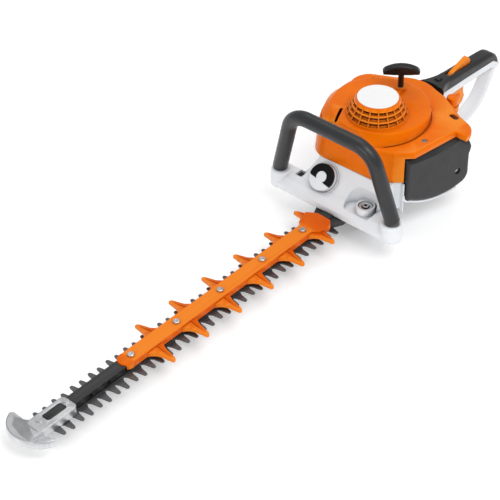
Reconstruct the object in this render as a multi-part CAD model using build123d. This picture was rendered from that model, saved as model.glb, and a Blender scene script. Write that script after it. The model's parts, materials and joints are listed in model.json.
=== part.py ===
from build123d import *
import math
import os

# Petrol hedge trimmer, in millimetres.
# -Y is forward (blade tip), +Y is the rear handle, +X is the air-filter side, +Z is up.
# The origin is where the vertical crankshaft axis meets the surface that the machine stands on.
# Heights in this file are measured from a datum below that surface; main() moves every part down.
STAND_DROP = 12.0            # height of the standing surface over the datum

# ---- cutting gear -------------------------------------------------------------------
CUT_Z = 40.0                 # plane between the two blades
BLADE_THICK = 2.0
BLADE_HALF_GAP = 0.1
TOOTH_PITCH = 36.0           # pitch of the teeth on one blade
TOOTH_COUNT = 17             # teeth on each side of each blade
STROKE = TOOTH_PITCH / 2
UPPER_FIRST_TOOTH = -724.5
LOWER_FIRST_TOOTH = UPPER_FIRST_TOOTH + STROKE
BLADE_CORE = 11.0            # half width of the blade's solid middle
TOOTH_TIP_X = 31.4
BLADE_NOSE = 10.5            # blade beyond its first tooth
BOLT_FIRST_Y = -561.0
BOLT_SPACING = 95.5
BOLT_COUNT = 5
BOLT_RADIUS = 4.0
BAR_HALF = 9.5
BAR_BOTTOM = CUT_Z + BLADE_HALF_GAP + BLADE_THICK + 0.2
BAR_TOP = BAR_BOTTOM + 12.2
GUARD_TOP = BAR_TOP + 3.0
GUARD_TIP_X = 48.2
GUARD_PITCH = 72.0
GUARD_TEETH = 6
GUARD_RIGHT_FIRST = -520.6
GUARD_LEFT_FIRST = -501.8
TIP_SCREW_PLACES = ((-2.0, -689.0), (-2.0, -740.0))
TIP_SCREW_RADIUS = 2.0

# ---- gearbox ------------------------------------------------------------------------
GEAR_MODULE = 1.5
GEAR_TEETH = 50
PINION_TEETH = 11
GEAR_Y = -GEAR_MODULE * (GEAR_TEETH + PINION_TEETH) / 2 - 0.15
CAM_RADIUS = 12.0
CAM_THROW = STROKE / 2
GEARBOX_FRONT = -96.0
GEARBOX_REAR = 40.0
GEARBOX_HALF = 44.0          # half width round the gear
GEARBOX_FOOT = 31.0          # half width round the yokes
GEARBOX_TOP = 62.0
COVER_TOP = STAND_DROP + 6.0
COVER_FRONT = -79.0
COVER_REAR = 36.0
COVER_RAKE = 7.5             # how far the cover's front face leans back

# ---- engine -------------------------------------------------------------------------
CYLINDER_Z = 112.0
CRANK_THROW = 14.0
SHAFT_RADIUS = 6.0
ROD_LENGTH = 50.0
BORE_RADIUS = 17.0
RUNNING = 0.05               # radial clearance of a running fit

# ---- housings -----------------------------------------------------------------------
WALL = 2.6
DECK_Z = 168.0
SHROUD_BOTTOM = 113.5
PLATEAU_Z = 184.0
PLATEAU_X = -9.0
PLATEAU_Y = 22.0
PLATEAU_RADIUS = 79.0
DOME_BASE_RADIUS = 50.0
DOME_TOP_RADIUS = 34.5
DOME_TOP = 214.0
RIM_FRONT = -116.0
SLOPE_FOOT = (-107.0, 69.0)  # y, z where the front housing's slope starts
SLOPE_HEAD = (-69.0, 113.5)

# ---- controls and handles -----------------------------------------------------------
CAP_X = -31.0
CAP_RADIUS = 22.0
CAP_PLUG_RADIUS = 15.5
GRIP_X = -13.0
GRIP_Y = 76.0
HANDLE_TUBE_RADIUS = 9.5
HANDLE_TUBE_WALL = 1.8
SLEEVE_RADIUS = 12.2


# ---- helpers ------------------------------------------------------------------------
def block(x0, x1, y0, y1, z0, z1):
    """A box between two corners."""
    centre = Pos((x0 + x1) / 2, (y0 + y1) / 2, (z0 + z1) / 2)
    return centre * Box(x1 - x0, y1 - y0, z1 - z0)


def disc(x, y, z0, z1, radius):
    """A vertical cylinder from z0 to z1."""
    return Pos(x, y, (z0 + z1) / 2) * Cylinder(radius, z1 - z0)


def ring(x, y, z0, z1, outer, inner):
    """A vertical tube from z0 to z1."""
    return disc(x, y, z0, z1, outer) - disc(x, y, z0 - 1, z1 + 1, inner)


def barrel(x, y0, y1, z, radius):
    """A cylinder along Y."""
    return Pos(x, (y0 + y1) / 2, z) * Rot(90, 0, 0) * Cylinder(radius, y1 - y0)


def crossbar(x0, x1, y, z, radius):
    """A cylinder along X."""
    return Pos((x0 + x1) / 2, y, z) * Rot(0, 90, 0) * Cylinder(radius, abs(x1 - x0))


def outline(points):
    return make_face(Polyline(*points, close=True))


def prism(points, z0, z1):
    """A plan outline raised from z0 to z1."""
    return Pos(0, 0, z0) * extrude(outline(points), z1 - z0)


def slab(points, half_width):
    """A side outline of (y, z) points, extruded to both sides of the middle."""
    return extrude(Plane.YZ * outline(points), half_width, both=True)


def group(shapes):
    """One compound with the solids of several shapes."""
    return Compound([solid for shape in shapes for solid in shape.solids()])


# ---- blades -------------------------------------------------------------------------
def tooth_outline(y, side):
    root, tip, nose = 9.0, 3.2, 1.9
    points = [
        (BLADE_CORE - 1, y - root),
        (BLADE_CORE + 2.0, y - root + 1.2),
        (BLADE_CORE + 6.5, y - 5.2),
        (TOOTH_TIP_X - 3.0, y - tip),
        (TOOTH_TIP_X, y - nose),
        (TOOTH_TIP_X, y + nose),
        (TOOTH_TIP_X - 3.0, y + tip),
        (BLADE_CORE + 6.5, y + 5.2),
        (BLADE_CORE + 2.0, y + root - 1.2),
        (BLADE_CORE - 1, y + root),
    ]
    return outline([(side * x, py) for x, py in points])


def bolt_rows():
    return [BOLT_FIRST_Y + BOLT_SPACING * k for k in range(BOLT_COUNT)]


def blade(first_tooth, z0, tail_y, slot_shift):
    """A reciprocating blade with teeth on both edges and slots for the guide bolts."""
    start = first_tooth - BLADE_NOSE
    plan = Pos(0, (start + tail_y) / 2) * Rectangle(2 * BLADE_CORE, tail_y - start)
    for k in range(TOOTH_COUNT):
        for side in (-1, 1):
            plan += tooth_outline(first_tooth + TOOTH_PITCH * k, side)
    slot_length = STROKE + 2 * (BOLT_RADIUS + 0.4)
    for y in bolt_rows():
        slot = Rot(0, 0, 90) * SlotOverall(slot_length, 2 * (BOLT_RADIUS + 0.4))
        plan -= Pos(0, y + slot_shift) * slot
    return Pos(0, 0, z0) * extrude(plan, BLADE_THICK)


def upper_blade():
    return blade(UPPER_FIRST_TOOTH, CUT_Z + BLADE_HALF_GAP, -86.0, -STROKE / 2)


def lower_blade():
    return blade(LOWER_FIRST_TOOTH, CUT_Z - BLADE_HALF_GAP - BLADE_THICK, -62.0, STROKE / 2)


def yoke(z0, thick, reach_front, reach_rear):
    """A plate with a window in which a cam turns; the window leaves room for the stroke."""
    half = CAM_RADIUS + CAM_THROW + 0.5
    border = 4.5
    front, rear = GEAR_Y - reach_front, GEAR_Y + reach_rear
    plate = Pos(0, (front + rear) / 2) * RectangleRounded(
        2 * (half + border), rear - front + 2 * border, 8)
    tongue = Pos(0, front - border - 3) * Rectangle(2 * BLADE_CORE - 2, 14)
    window = Pos(0, (front + rear) / 2) * RectangleRounded(2 * half, rear - front, 6)
    return Pos(0, 0, z0) * extrude(plate + tongue - window, thick)


def upper_yoke():
    swing = CAM_RADIUS + CAM_THROW + 0.5
    return yoke(CUT_Z + BLADE_HALF_GAP + BLADE_THICK, 4.0, swing + STROKE, swing)


def lower_yoke():
    swing = CAM_RADIUS + CAM_THROW + 0.5
    return yoke(CUT_Z - BLADE_HALF_GAP - BLADE_THICK - 4.0, 4.0, swing, swing + STROKE)


# ---- guide bar and guards -----------------------------------------------------------
def guide_bar():
    """Box bar over the blades, flared where it bolts to the gearbox."""
    front, rear = -748.0, GEARBOX_FRONT
    bar_wall = 3.0
    bar = block(-BAR_HALF, BAR_HALF, front, rear, BAR_BOTTOM, BAR_TOP)
    flare = prism([(-BAR_HALF, -150), (BAR_HALF, -150), (27, -112), (27, rear),
                   (-27, rear), (-27, -112)], BAR_BOTTOM, BAR_TOP - 2.4)
    bar += flare
    channel = block(-BAR_HALF + bar_wall, BAR_HALF - bar_wall, front + 18, -160,
                    BAR_BOTTOM - 1, BAR_TOP - bar_wall)
    for y in bolt_rows():
        channel -= block(-BAR_HALF, BAR_HALF, y - 7, y + 7, BAR_BOTTOM - 2, BAR_TOP)
    bar -= channel
    bar -= block(-BLADE_CORE, BLADE_CORE, -100.4, rear + 1, BAR_BOTTOM - 1, BAR_BOTTOM + 4.2)
    for k in range(15):
        pocket_y = -688.0 + TOOTH_PITCH * k
        for side in (-1, 1):
            bar -= crossbar(side * (BAR_HALF - 2.5), side * (BAR_HALF + 1), pocket_y,
                            (BAR_BOTTOM + BAR_TOP) / 2, 3.4)
    for y in bolt_rows():
        bar -= disc(0, y, BAR_BOTTOM - 1, BAR_TOP + 1, BOLT_RADIUS)
    for x, y in TIP_SCREW_PLACES:
        bar -= disc(x, y, BAR_BOTTOM + 3, BAR_TOP + 1, TIP_SCREW_RADIUS)
    return bar


def guide_bolts():
    """Shouldered bolts that clamp guard and bar and guide both blades."""
    bottom = CUT_Z - BLADE_HALF_GAP - BLADE_THICK - 0.2
    bolts = []
    for y in bolt_rows():
        head = disc(0, y, GUARD_TOP, GUARD_TOP + 3.2, 5.3)
        head = fillet(head.edges().sort_by(Axis.Z)[-1], 1.4)
        head -= Pos(0, y, GUARD_TOP + 2.4) * extrude(RegularPolygon(2.4, 6), 2)
        bolts.append(head + disc(0, y, bottom - 3.0, GUARD_TOP, BOLT_RADIUS))
    return group(bolts)


def guide_nuts():
    top = CUT_Z - BLADE_HALF_GAP - BLADE_THICK - 0.2
    nuts = []
    for y in bolt_rows():
        body = Pos(0, y, top - 4.0) * extrude(RegularPolygon(7.5, 6), 4.0)
        nuts.append(body - disc(0, y, top - 3.0, top + 1, BOLT_RADIUS))
    return group(nuts)


def guard_tooth(y, side):
    """One blunt tooth: a finger below the comb's top, its front edge swept into the comb."""
    tip = GUARD_TIP_X
    rear = [(10, 12), (15, 10.5), (26, 6.4), (tip - 4, 4.0), (tip - 0.8, 2.2), (tip, -0.4),
            (tip - 1.5, -2.8), (30, -6.4)]
    rear = [(side * x, y + dy) for x, dy in rear]
    saddle = [(side * x, y + dy) for x, dy in ((30, -6.4), (20.5, -11), (13, -21))]
    foot = Polyline(saddle[2], (side * 10, y - 21), rear[0])
    plan = make_face(Curve() + [Polyline(*rear), ThreePointArc(*saddle), foot])
    raised = Pos(0, 0, BAR_BOTTOM + 2) * extrude(plan, GUARD_TOP)
    wedge = Plane.XZ * outline([
        (side * 8, BAR_BOTTOM + 5.4), (side * 8, GUARD_TOP - 2.6), (side * 13, GUARD_TOP - 2.6),
        (side * 24, BAR_BOTTOM + 9.8), (side * (tip + 1), BAR_BOTTOM + 6.2),
        (side * (tip + 1), BAR_BOTTOM + 2.4), (side * 24, BAR_BOTTOM + 4.4),
    ])
    finger = raised & (Pos(0, y, 0) * extrude(wedge, 30, both=True))
    rib = Plane.XZ * outline([
        (side * 12, GUARD_TOP - 5), (side * 12, GUARD_TOP - 1.4), (side * 15, GUARD_TOP - 1.6),
        (side * 27, BAR_BOTTOM + 10.6), (side * (tip - 4), BAR_BOTTOM + 6.6), (side * 24, BAR_BOTTOM + 6),
    ])
    return finger + Pos(0, y + 1.5, 0) * extrude(rib, 1.1, both=True)


def tooth_guard():
    """Orange comb over the bar, with staggered blunt teeth and a wider rear end."""
    front, rear, half = -584.0, -130.0, 13.0
    plan = make_face(Curve() + [
        ThreePointArc((-half, front + 17), (0, front), (half, front + 17)),
        Polyline((half, front + 17), (half, rear - 42), (half + 8, rear - 33), (half + 11, rear - 16),
                 (half + 9, rear - 8), (half + 2, rear), (-half + 2, rear + 1), (-half - 14, rear - 9),
                 (-half - 10, rear - 24), (-half - 7, rear - 33), (-half, rear - 42), (-half, front + 17)),
    ])
    comb = Pos(0, 0, BAR_TOP - 7) * extrude(plan, GUARD_TOP - BAR_TOP + 7)
    comb = fillet(comb.faces().sort_by(Axis.Z)[-1].edges(), 1.0)
    for k in range(GUARD_TEETH):
        comb += guard_tooth(GUARD_RIGHT_FIRST + GUARD_PITCH * k, 1)
        comb += guard_tooth(GUARD_LEFT_FIRST + GUARD_PITCH * k, -1)
    comb -= block(-BAR_HALF - 0.2, BAR_HALF + 0.2, front - 1, rear + 10, BAR_BOTTOM - 1, BAR_TOP)
    comb -= prism([(-BAR_HALF - 0.2, -151), (BAR_HALF + 0.2, -151), (27.5, -112), (27.5, -100),
                   (-27.5, -100), (-27.5, -112)], BAR_BOTTOM - 1, BAR_TOP - 2.2)
    for y in bolt_rows():
        comb -= disc(0, y, BAR_TOP - 1, GUARD_TOP + 1, BOLT_RADIUS)
    return comb


def tip_guard():
    """Cast shoe round the end of the bar, with a crescent in front of the blades."""
    top, bottom = BAR_TOP + 1.8, CUT_Z - 5.0
    plan = make_face(Curve() + [
        ThreePointArc((-54, -750), (-37, -771), (-8, -777)),
        ThreePointArc((-8, -777), (19, -767), (34, -747)),
        Polyline((34, -747), (31, -744), (22, -750), (14, -751), (14, -742), (-14, -742),
                 (-24, -746), (-38, -745), (-49, -744), (-54, -750)),
    ])
    crescent = Pos(0, 0, bottom) * extrude(plan, 12)
    crescent = fillet(crescent.faces().sort_by(Axis.Z)[-1].edges().filter_by(GeomType.CIRCLE), 2.5)
    frame = Pos(1, -719.5, BAR_BOTTOM) * extrude(RectangleRounded(31, 73, 7), top - BAR_BOTTOM)
    frame = fillet(frame.faces().sort_by(Axis.Z)[-1].edges(), 1.2)
    neck = block(-14, 14, -766, -742, bottom, bottom + 12)
    foot = [(-45, -751), (-35, -765), (-9, -772), (12, -771), (16, -752), (-14, -744)]
    crown = [(-15, -749), (-13, -753), (-3, -758), (13.5, -767), (16, -750), (-13, -742)]
    slope = loft([Pos(0, 0, bottom + 11) * outline(foot), Pos(0, 0, top - 1.2) * outline(crown)],
                 ruled=True)
    shoe = crescent + frame + neck + slope
    shoe -= block(-BAR_HALF, BAR_HALF, -748, -680, BAR_BOTTOM - 1, BAR_TOP)
    shoe -= Pos(0, -713.5, BAR_TOP - 1) * extrude(RectangleRounded(15, 37, 4), 4)
    for x, y in TIP_SCREW_PLACES:
        shoe += ring(x, y, BAR_TOP, top + 0.8, 5.2, TIP_SCREW_RADIUS)
        shoe -= disc(x, y, BAR_BOTTOM + 3, top + 1, TIP_SCREW_RADIUS)
    return shoe


def tip_screws():
    top = BAR_TOP + 2.6
    screws = []
    for x, y in TIP_SCREW_PLACES:
        head = disc(x, y, top, top + 1.8, 3.8)
        head -= disc(x, y, top + 1.0, top + 2, 1.6)
        screws.append(head + disc(x, y, BAR_BOTTOM + 3, top, TIP_SCREW_RADIUS))
    return group(screws)


# ---- gearbox ------------------------------------------------------------------------
SCREW_PLACES = [(side * x, y) for side in (-1, 1)
                for x, y in ((23.5, -62.0), (23.5, -18.0), (23.0, 27.0))]


def gear_cover():
    """Flat bottom cover that the machine stands on, with the seat of the gear's arbor."""
    cover = slab([(COVER_FRONT, COVER_TOP), (COVER_FRONT + COVER_RAKE, STAND_DROP),
                  (COVER_REAR, STAND_DROP), (COVER_REAR, COVER_TOP)], GEARBOX_FOOT)
    cover = fillet(cover.edges().filter_by(Axis.Z), 6)
    cover = chamfer(cover.faces().sort_by(Axis.Z)[0].edges(), 1.5)
    cover += disc(0, GEAR_Y, COVER_TOP - 1, COVER_TOP + 6, 9.5)
    cover -= disc(0, GEAR_Y, STAND_DROP + 2.5, COVER_TOP + 7, 6.2)
    for x, y in SCREW_PLACES:
        cover -= disc(x, y, STAND_DROP + 3.0, COVER_TOP + 1, 2.5)
        cover -= disc(x, y, STAND_DROP - 1, STAND_DROP + 3.0, 4.6)
    return cover


def cover_screws():
    return group(disc(x, y, STAND_DROP + 0.6, STAND_DROP + 3.0, 4.4)
                 + disc(x, y, STAND_DROP + 3.0, 30.0, 2.5) for x, y in SCREW_PLACES)


def gear_housing():
    """Cast gearbox: wide round the gear, narrow round the yokes, open below for the cover."""
    middle = (GEARBOX_REAR - 92) / 2
    upper = Pos(0, middle, 46) * extrude(
        RectangleRounded(2 * GEARBOX_HALF, GEARBOX_REAR + 92, 14), GEARBOX_TOP - 46)
    upper = fillet(upper.faces().sort_by(Axis.Z)[-1].edges(), 2)
    lower = slab([(GEARBOX_FRONT, 54), (GEARBOX_FRONT, 35), (COVER_FRONT, COVER_TOP),
                  (COVER_REAR, COVER_TOP), (COVER_REAR, 54)], GEARBOX_FOOT)
    lower = fillet(lower.edges().filter_by(Axis.Z), 6)
    tub = upper + lower
    tub -= block(-GEARBOX_HALF + 4, GEARBOX_HALF - 4, -88, 16, 46, GEARBOX_TOP - 4)
    tub -= slab([(-91, 50), (-91, 34), (-76, COVER_TOP - 1), (16, COVER_TOP - 1), (16, 50)],
                GEARBOX_FOOT - 4.2)
    for x, y in SCREW_PLACES:
        tub += disc(x, y, COVER_TOP, 32.0, 5.5)
        tub -= disc(x, y, COVER_TOP - 1, 30.0, 2.5)
    tub -= block(-BLADE_CORE - 1, BLADE_CORE + 1, GEARBOX_FRONT - 1, -90, CUT_Z - 6.6, CUT_Z + 6.8)
    return tub - disc(0, 0, 50, GEARBOX_TOP + 1, 13.0)


def gear_bearings():
    """Bearing bushes of the drive-gear arbor and of the clutch-drum shaft."""
    lower = ring(0, GEAR_Y, STAND_DROP + 2.5, COVER_TOP + 6, 6.2, 5.0 + RUNNING)
    drum = ring(0, 0, 57.5, GEARBOX_TOP, 13.0, 5.0 + RUNNING)
    return group([lower, drum])


def toothed_wheel(teeth, thick, phase):
    """Spur gear with straight-flanked teeth; phase is the angle of the first tooth."""
    pitch_radius = GEAR_MODULE * teeth / 2
    outer, root = pitch_radius + 0.9 * GEAR_MODULE, pitch_radius - 1.2 * GEAR_MODULE
    step = 360.0 / teeth
    points = []
    for k in range(teeth):
        middle = phase + k * step
        for radius, share in ((root, -0.36), (outer, -0.12), (outer, 0.12), (root, 0.36)):
            angle = math.radians(middle + share * step)
            points.append((radius * math.cos(angle), radius * math.sin(angle)))
    return extrude(outline(points), thick)


def drive_gear():
    """Reduction gear on its arbor."""
    gear = Pos(0, GEAR_Y, 48) * toothed_wheel(GEAR_TEETH, 8.0, 90.0)
    gear -= ring(0, GEAR_Y, 52, 60, 30, 14)
    return gear + disc(0, GEAR_Y, STAND_DROP + 3.5, 57.0, 5.0) + disc(0, GEAR_Y, 37.4, 42.6, 6.0)


def drive_cams():
    """Two round cams, opposite each other, pressed on the gear's arbor."""
    cams = []
    for z0, z1, shift in ((42.6, 45.6, -CAM_THROW), (34.4, 37.4, CAM_THROW)):
        cams.append(disc(0, GEAR_Y + shift, z0, z1, CAM_RADIUS) - disc(0, GEAR_Y, z0 - 1, z1 + 1, 5.0))
    return group(cams)


def clutch_drum():
    """Clutch drum, its shaft and the pinion that drives the gear."""
    drum = ring(0, 0, 64, 84, 30.0, 27.5) + disc(0, 0, 64, 67, 29.0)
    pinion = Pos(0, 0, 47) * toothed_wheel(PINION_TEETH, 10.0, -90.0 + 180.0 / PINION_TEETH)
    return drum + pinion + disc(0, 0, 57, 65, 5.0)


# ---- engine -------------------------------------------------------------------------
def crankshaft():
    shaft = disc(0, 0, 69.0, 98, SHAFT_RADIUS) + disc(0, 0, 126, 176, SHAFT_RADIUS)
    webs = disc(0, 0, 98, 107, 22) + disc(0, 0, 117, 126, 22)
    pin = disc(0, CRANK_THROW, 106, 118, 5.0)
    return shaft + webs + pin


def big_end_bearing():
    return ring(0, CRANK_THROW, 108.5, 115.5, 9.0, 5.0)


def clutch_shoes():
    """Two centrifugal shoes round the lower end of the crankshaft."""
    shoes = ring(0, 0, 70, 82, 26.0, 9.0) - block(-30, 30, -2.5, 2.5, 60, 90)
    carrier = ring(0, 0, 83, 86, 14.0, SHAFT_RADIUS)
    stubs = [disc(x, y, 70, 86, 3.0) for x, y in ((9.0, 9.0), (-9.0, -9.0))]
    hub = ring(0, 0, 70, 83, 9.0, SHAFT_RADIUS)
    return shoes + carrier + hub + stubs[0] + stubs[1]


def flywheel():
    """Magneto flywheel with fan vanes and a hub for the starter pawls."""
    wheel = ring(0, 0, 140, 145, 46.0, SHAFT_RADIUS) + ring(0, 0, 145, 166, 14.0, SHAFT_RADIUS)
    for k in range(16):
        vane = block(20, 45, -1.1, 1.1, 144, 162)
        wheel += Rot(0, 0, 360 / 16 * k) * vane
    wheel += ring(0, 0, 166, 172, 12.0, SHAFT_RADIUS)
    return wheel


def crankcase():
    """Crankcase casting with bearing seats and the mouth for the cylinder."""
    case = disc(0, 0, 90, 134, 33) + block(-30, 30, 0, 34, 90, 134)
    case -= disc(0, 0, 97, 127, 23.5)
    case -= block(-16, 16, 0, 36, 100, 124)
    case -= disc(0, 0, 89, 98, 13.0)
    case -= disc(0, 0, 126, 135, 13.0)
    for side in (-1, 1):
        case += block(side * 39 - 9, side * 39 + 9, -12, 12, 90, 100)
        case += block(side * 39 - 6, side * 39 + 6, -10, 10, GEARBOX_TOP, 92)
    return case


def crank_bearings():
    return group(ring(0, 0, z, z + 6, 13.0, SHAFT_RADIUS + RUNNING) for z in (91, 127))


def cylinder():
    """Finned cylinder lying towards the rear."""
    body = barrel(0, 34, 95, CYLINDER_Z, 22)
    for k in range(8):
        y = 48 + 6 * k
        body += block(-31, 31, y, y + 2, CYLINDER_Z - 29, CYLINDER_Z + 29)
    body -= barrel(0, 33, 86, CYLINDER_Z, BORE_RADIUS)
    body -= barrel(0, 80, 96, CYLINDER_Z, 5.0)
    return body


def piston():
    """Piston at the top of its stroke."""
    pin_y = CRANK_THROW + ROD_LENGTH
    body = barrel(0, pin_y - 12, pin_y + 16, CYLINDER_Z, BORE_RADIUS - RUNNING)
    body -= barrel(0, pin_y - 13, pin_y + 11, CYLINDER_Z, 13.5)
    return body - disc(0, pin_y, 80, 140, 5.0)


def piston_pin():
    pin_y = CRANK_THROW + ROD_LENGTH
    return disc(0, pin_y, CYLINDER_Z - 15.5, CYLINDER_Z + 15.5, 5.0)


def connecting_rod():
    """Rod from the piston pin towards the crank pin, whose bearing ring turns with the crank."""
    pin_y = CRANK_THROW + ROD_LENGTH
    rod = disc(0, pin_y, CYLINDER_Z - 3.5, CYLINDER_Z + 3.5, 8.5)
    rod += block(-4.5, 4.5, CRANK_THROW + 9.4, pin_y, CYLINDER_Z - 2.5, CYLINDER_Z + 2.5)
    return rod - disc(0, pin_y, 100, 124, 5.0)


def spark_plug():
    plug = barrel(0, 86.5, 96, CYLINDER_Z, 5.0)
    plug += Pos(0, 96, CYLINDER_Z) * Rot(-90, 0, 0) * extrude(RegularPolygon(9, 6), 8)
    return plug + barrel(0, 104, 116, CYLINDER_Z, 5.0)


def plug_boot():
    return barrel(0, 107, 124, CYLINDER_Z, 8.5) - barrel(0, 106, 116, CYLINDER_Z, 5.0)


def ignition_module():
    module = block(-78, -50, -15, 15, 138, 158)
    module -= disc(0, 0, 130, 170, 46.6)
    return fillet(module.edges().filter_by(Axis.Z), 2)


OUTLET_Y = 66.0
OUTLET_Z = 102.0


def muffler():
    """Silencer box on the left of the cylinder with its outlet to the side."""
    box = fillet(block(-86, -36, 44, 90, 92, 142).edges(), 6)
    outlet = crossbar(-98, -83, OUTLET_Y, OUTLET_Z, 6) - crossbar(-100, -80, OUTLET_Y, OUTLET_Z, 4.5)
    port = block(-37, -31.5, 56, 76, 102, 122)
    return box + outlet + port


def carburettor():
    body = fillet(block(44, 66, 48, 78, 98, 126).edges().filter_by(Axis.Z), 3)
    flange = block(31.5, 44.2, 54, 74, 102, 122)
    pump = crossbar(50, 60, 44, 112, 8)
    return body + flange + pump


# ---- air filter ---------------------------------------------------------------------
FILTER_LENGTH = 130.0
FILTER_HEIGHT = 85.0
FILTER_DEPTH = 30.0
FILTER_FACE = Plane(origin=(92, -40, 72), x_dir=(33, 125, 0), z_dir=(125, -33, 0))
FILTER_SCREW = (103.0, 23.0)


def filter_outline(inset):
    """Side outline of the cover; its lower edge falls towards the rear and turns up again."""
    low = ThreePointArc((12, 3), (68, -12), (114, -4.5))
    rear_low = ThreePointArc((114, -4.5), (123.5, 3), (127, 18))
    rear_high = ThreePointArc((127, 60), (124, 75), (115, 84))
    lines = Polyline((115, 84), (4, 84), (1, 80), (1, 14))
    front_low = ThreePointArc((1, 14), (4, 6.5), (12, 3))
    face = make_face(Curve() + [low, rear_low, Line((127, 18), (127, 60)), rear_high, lines, front_low])
    if inset:
        face = offset(face, -inset, kind=Kind.ARC)
    return face


def filter_brow():
    """Wedge cut off the cover's top, so that the face ends in a hollow curve below the deck."""
    side = make_face(Curve() + [
        ThreePointArc((-6, 76), (50, 73), (100, 81)), Polyline((100, 81), (132, 58), (132, 100), (-6, 100),
                                                               (-6, 76))])
    high = make_face(Curve() + [
        ThreePointArc((-6, 85.5), (50, 85), (108, 85.5)), Polyline((108, 85.5), (140, 76), (140, 100),
                                                                   (-6, 100), (-6, 85.5))])
    return loft([Pos(0, 0, 0.5) * side, Pos(0, 0, -11) * high], ruled=True)


def filter_layer(inset, deep, shallow):
    """The outline as a solid between two depths behind the cover's face."""
    return FILTER_FACE * (Pos(0, 0, -deep) * extrude(filter_outline(inset), deep - shallow))


def filter_cover():
    """Black cover whose top edge is cut back towards the deck."""
    shell = Pos(0, 0, -FILTER_DEPTH) * extrude(filter_outline(0), FILTER_DEPTH)
    front = shell.faces().sort_by(Axis.Z)[-1].edges()
    shell = fillet(front.filter_by(lambda e: e.center().Y < 70), 6.0)
    shell = FILTER_FACE * (shell - filter_brow())
    shell -= filter_layer(WALL, FILTER_DEPTH + 1, 10)
    shell -= filter_layer(WALL, 11, 3) & FILTER_FACE * (Pos(44, 32, 0) * Box(72, 50, 30))
    u, v = FILTER_SCREW
    shell -= FILTER_FACE * (Pos(u, v, 0) * Cylinder(5.5, 16))
    return shell - FILTER_FACE * (Pos(u, v, -8) * Cylinder(2.6, 20))


def filter_screw():
    u, v = FILTER_SCREW
    head = Pos(u, v, -6) * Cylinder(4.0, 3.4) + Pos(u, v, -15) * Cylinder(2.5, 16)
    head -= Pos(u, v, -4.4) * Box(6, 1.2, 1.6)
    return FILTER_FACE * head


def filter_base():
    """Plate behind the air filter, with the air passage to the carburettor."""
    plate = filter_layer(1.5, FILTER_DEPTH + 4, FILTER_DEPTH)
    u, v = FILTER_SCREW
    boss = FILTER_FACE * (Pos(u, v, -FILTER_DEPTH + 4) * Cylinder(6, 12))
    base = plate + boss
    base -= FILTER_FACE * (Pos(u, v, -18) * Cylinder(2.6, 40))
    return base - FILTER_FACE * (Pos(55, 38, -FILTER_DEPTH) * Cylinder(9, 20))


def air_filter():
    """Pleated paper element in its frame."""
    element = Pos(52, 38, -20) * Box(72, 48, 16)
    for k in range(11):
        element -= Pos(22 + 6 * k, 38, -12) * Box(2.4, 42, 10)
    return FILTER_FACE * element


CHOKE_PLACE = (46.0, 137.0)
CHOKE_Z = 150.0


def choke_knob():
    """Turning knob with a pointed lug for the choke."""
    x, y = CHOKE_PLACE
    knob = disc(x, y, CHOKE_Z, CHOKE_Z + 15, 9.5)
    knob = fillet(knob.edges().sort_by(Axis.Z)[-1], 2.5)
    lug = fillet(block(x - 2.6, x + 2.6, y, y + 19, CHOKE_Z + 3, CHOKE_Z + 13).edges(), 2.2)
    return knob + lug + disc(x, y, CHOKE_Z - 12, CHOKE_Z, 4.0)


# ---- front housing ------------------------------------------------------------------
SLOPE_ANGLE = math.degrees(math.atan2(SLOPE_HEAD[1] - SLOPE_FOOT[1], SLOPE_HEAD[0] - SLOPE_FOOT[0]))
CAP_ALONG = 0.51             # how far up the slope the cap sits, as a share
CAP_Y = SLOPE_FOOT[0] + CAP_ALONG * (SLOPE_HEAD[0] - SLOPE_FOOT[0])
CAP_Z = SLOPE_FOOT[1] + CAP_ALONG * (SLOPE_HEAD[1] - SLOPE_FOOT[1])
CAP_PLANE = Plane(origin=(CAP_X, CAP_Y, CAP_Z), x_dir=(1, 0, 0),
                  z_dir=(0, -math.sin(math.radians(SLOPE_ANGLE)), math.cos(math.radians(SLOPE_ANGLE))))
FOOT_X = 110.0
FOOT_Y = -99.0
FOOT_TOP = 82.0
FRONT_MOUNT = (55.0, -93.0)
SCOOP = (48.0, -96.5)
LEFT_MOUNT_POCKET = (-84.0, -72.0, -97.0, -82.0)
MOUNT_TOP = 84.5
SCOOP_FLOOR = 72.0
SKIRT_INSET = 1.5
SKIRT_BOTTOM = 62.0


def deck_outline(lean):
    """Plan of the shroud: lean 0 is at the deck, lean 1 at the seam, where the walls stand out."""
    right = Polyline((14, 134), (38, 127), (66, 112), (90, 97.5), (108, 91))
    corner = ThreePointArc((108, 91), (123, 82), (131, 66))
    lines = Polyline((131, 66), (131, 58), (111, 58), (98, -30),
                     (74, -52), (46, -63 - 3.5 * lean), (-46, -62 - 7.5 * lean))
    left_front = ThreePointArc((-46, -62 - 7.5 * lean), (-68 - 5 * lean, -56 - 5 * lean),
                               (-82 - 4 * lean, -40 - 3 * lean))
    left = ThreePointArc((-82 - 4 * lean, -40 - 3 * lean), (-102 - 3 * lean, 12), (-104 - 2 * lean, 66))
    left_rear = ThreePointArc((-104 - 2 * lean, 66), (-103 - lean, 87), (-92, 102))
    back = Line((-92, 102), (-54, 121))
    nose = ThreePointArc((-54, 121), (-20, 139), (14, 134))
    return make_face(Curve() + [right, corner, lines, left_front, left, left_rear, back, nose])


def engine_bay(inset, z0, z1, foot_lean=0.0):
    """The deck's plan, drawn in by inset, as a solid from z0 to z1; foot_lean is the lean at z0."""
    def layer(lean, z):
        plan = deck_outline(lean)
        if inset:
            plan = offset(plan, -inset, kind=Kind.TANGENT)
        return Pos(0, 0, z) * plan
    if foot_lean:
        return loft([layer(foot_lean, z0), layer(0, z1)], ruled=True)
    return extrude(layer(0, z0), z1 - z0)


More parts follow.
